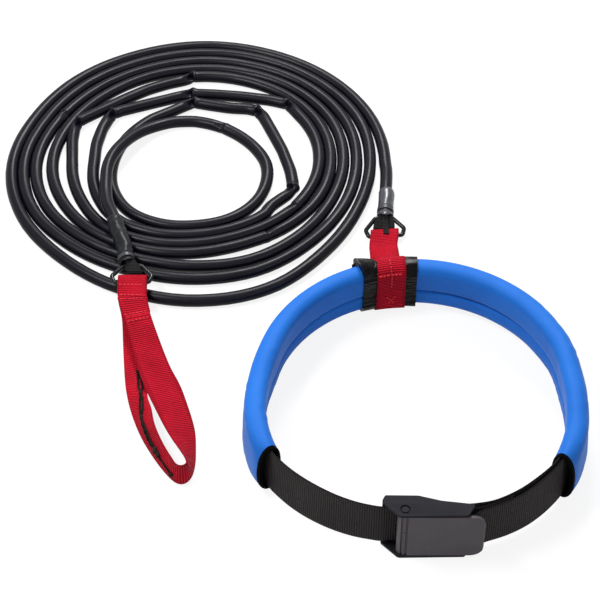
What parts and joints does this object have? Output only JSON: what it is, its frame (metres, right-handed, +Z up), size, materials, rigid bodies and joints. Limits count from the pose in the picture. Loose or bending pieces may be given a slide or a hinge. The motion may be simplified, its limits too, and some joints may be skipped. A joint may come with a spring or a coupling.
{
  "type": "swim training tether",
  "caption": "Coiled rubber tube between a padded waist belt with a cam buckle and a webbing hand loop, for swimming in place.",
  "frame": {"origin": "middle of the footprint of the belt, its slider, the rings, sleeves and the hand loop, on the floor", "axes": "+Z up from the floor, +Y from the buckle across the belt towards the tube's coil, +X to the right seen from the buckle"},
  "size_m": [0.5803, 0.7034, 0.062],
  "materials": {
    "tube_rubber": "smooth extruded rubber, semi-gloss",
    "sleeve_rubber": "moulded rubber, satin",
    "tie_nylon": "moulded nylon",
    "ring_wire": "black coated steel wire",
    "black_webbing": "flat woven polyester webbing",
    "black_fabric": "woven binding and wrap tape",
    "red_webbing": "flat woven nylon webbing",
    "blue_foam": "soft foam with a smooth knitted skin",
    "buckle_plastic": "moulded acetal, fine grain"
  },
  "bodies": {
    "tether": {"tube_coil": "tube_rubber", "tube_lead_belt": "tube_rubber", "tube_lead_handle": "tube_rubber", "end_sleeve_belt": "sleeve_rubber", "end_sleeve_handle": "sleeve_rubber", "cable_tie_belt": "tie_nylon", "cable_tie_handle": "tie_nylon", "anchor_tape_belt": "black_webbing", "anchor_tape_handle": "black_webbing", "anchor_plug_belt": "tie_nylon", "anchor_plug_handle": "tie_nylon"},
    "belt_ring": {"ring_belt": "ring_wire"},
    "slider": {"slider_wrap": "black_fabric", "slider_band": "red_webbing", "slider_tab": "red_webbing"},
    "belt": {"pad_cover": "blue_foam", "pad_binding_left": "black_fabric", "pad_binding_right": "black_fabric", "belt_webbing": "black_webbing", "buckle_frame": "buckle_plastic", "buckle_pin": "buckle_plastic"},
    "lever": {"buckle_lever": "buckle_plastic"},
    "hand_ring": {"ring_handle": "ring_wire"},
    "hand_loop": {"hand_loop": "red_webbing"}
  },
  "joints": [
    {"name": "belt_ring_swing", "type": "hinge", "parent": "tether", "child": "belt_ring", "pos_m": [0.05068, 0.19113, 0.0093], "axis": [-0.9962, -0.0872, 0], "range_deg": [0, 75]},
    {"name": "slider_fold", "type": "hinge", "parent": "belt_ring", "child": "slider", "pos_m": [0.05255, 0.16971, 0.00461], "axis": [-0.9962, -0.0872, 0], "range_deg": [0, 75]},
    {"name": "belt_slide", "type": "hinge", "parent": "slider", "child": "belt", "pos_m": [0.07448, -0.06407, 0.031], "axis": [0, 0, 1], "range_deg": [-45, 45]},
    {"name": "buckle_lever_open", "type": "hinge", "parent": "belt", "child": "lever", "pos_m": [0.05648, -0.22337, 0.031], "axis": [0, 0, -1], "range_deg": [0, 110]},
    {"name": "hand_ring_swing", "type": "hinge", "parent": "tether", "child": "hand_ring", "pos_m": [-0.20312, 0.11043, 0.0219], "axis": [-1, 0, 0], "range_deg": [0, 75]},
    {"name": "hand_loop_fold", "type": "hinge", "parent": "hand_ring", "child": "hand_loop", "pos_m": [-0.20312, 0.08843, 0.0214], "axis": [-1, 0, 0], "range_deg": [0, 60]}
  ]
}
